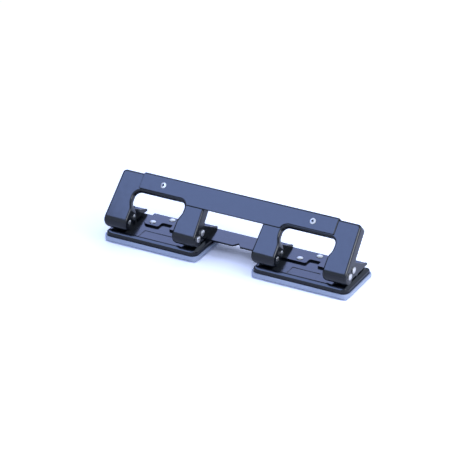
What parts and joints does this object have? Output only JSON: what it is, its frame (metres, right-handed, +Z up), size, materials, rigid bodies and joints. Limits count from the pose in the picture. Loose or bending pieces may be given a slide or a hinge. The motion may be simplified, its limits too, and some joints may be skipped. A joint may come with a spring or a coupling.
{
  "type": "four-hole paper punch",
  "caption": "Desk paper punch: two pressed levers under one handle bar drive sprung punches through base plates on a linking rail, with pull-off chip trays.",
  "frame": {"origin": "middle of the bounding box at the floor", "axes": "+X along the length, +Y away from the paper's entry side, +Z up"},
  "size_m": [0.2636, 0.056, 0.0653],
  "materials": {
    "black_enamel": "gloss",
    "bright_steel": "polished",
    "spring_steel": "bright",
    "tray_plastic": "satin"
  },
  "bodies": {
    "frame": {"base_plate_left": "black_enamel", "base_plate_right": "black_enamel", "punch_bracket_1": "black_enamel", "punch_bracket_2": "black_enamel", "punch_bracket_3": "black_enamel", "punch_bracket_4": "black_enamel", "link_rail": "black_enamel", "rail_rivet_1": "bright_steel", "rail_rivet_2": "bright_steel", "rail_rivet_3": "bright_steel", "rail_rivet_4": "bright_steel", "rail_rivet_5": "bright_steel", "rail_rivet_6": "bright_steel", "return_spring_1": "spring_steel", "return_spring_2": "spring_steel", "return_spring_3": "spring_steel", "return_spring_4": "spring_steel"},
    "lever": {"lever_left": "black_enamel", "lever_right": "black_enamel", "handle_bar": "black_enamel", "bar_screw_left": "bright_steel", "bar_screw_right": "bright_steel", "bar_nut_left": "bright_steel", "bar_nut_right": "bright_steel", "pivot_axle_1": "bright_steel", "pivot_axle_2": "bright_steel", "pivot_axle_3": "bright_steel", "pivot_axle_4": "bright_steel", "pivot_spacer_1": "bright_steel", "pivot_spacer_2": "bright_steel", "pivot_spacer_3": "bright_steel", "pivot_spacer_4": "bright_steel", "drive_pin_1": "bright_steel", "drive_pin_2": "bright_steel", "drive_pin_3": "bright_steel", "drive_pin_4": "bright_steel"},
    "punch_1": {"punch_1": "bright_steel", "punch_clip_1": "bright_steel"},
    "punch_2": {"punch_2": "bright_steel", "punch_clip_2": "bright_steel"},
    "punch_3": {"punch_3": "bright_steel", "punch_clip_3": "bright_steel"},
    "punch_4": {"punch_4": "bright_steel", "punch_clip_4": "bright_steel"},
    "tray_left": {"chip_tray_left": "tray_plastic"},
    "tray_right": {"chip_tray_right": "tray_plastic"}
  },
  "joints": [
    {"name": "lever_press", "type": "hinge", "parent": "frame", "child": "lever", "pos_m": [0, -0.01963, 0.0228], "axis": [-1, 0, 0], "range_deg": [0, 36], "stiffness_Nm_per_rad": 0.6, "springref_deg": -20.05},
    {"name": "punch_slide_1", "type": "slide", "parent": "frame", "child": "punch_1", "axis": [0, 0, -1], "range_m": [0, 0.0057], "deforming": ["return_spring_1"]},
    {"name": "punch_slide_2", "type": "slide", "parent": "frame", "child": "punch_2", "axis": [0, 0, -1], "range_m": [0, 0.0057], "deforming": ["return_spring_2"]},
    {"name": "punch_slide_3", "type": "slide", "parent": "frame", "child": "punch_3", "axis": [0, 0, -1], "range_m": [0, 0.0057], "deforming": ["return_spring_3"]},
    {"name": "punch_slide_4", "type": "slide", "parent": "frame", "child": "punch_4", "axis": [0, 0, -1], "range_m": [0, 0.0057], "deforming": ["return_spring_4"]},
    {"name": "tray_left_pull", "type": "slide", "parent": "frame", "child": "tray_left", "axis": [0, 0, -1], "range_m": [0, 0.012]},
    {"name": "tray_right_pull", "type": "slide", "parent": "frame", "child": "tray_right", "axis": [0, 0, -1], "range_m": [0, 0.012]}
  ],
  "couplings": [
    {"joint": "punch_slide_1", "follows": "lever_press", "m_per_rad": 0.008951},
    {"joint": "punch_slide_2", "follows": "lever_press", "m_per_rad": 0.008951},
    {"joint": "punch_slide_3", "follows": "lever_press", "m_per_rad": 0.008951},
    {"joint": "punch_slide_4", "follows": "lever_press", "m_per_rad": 0.008951}
  ]
}
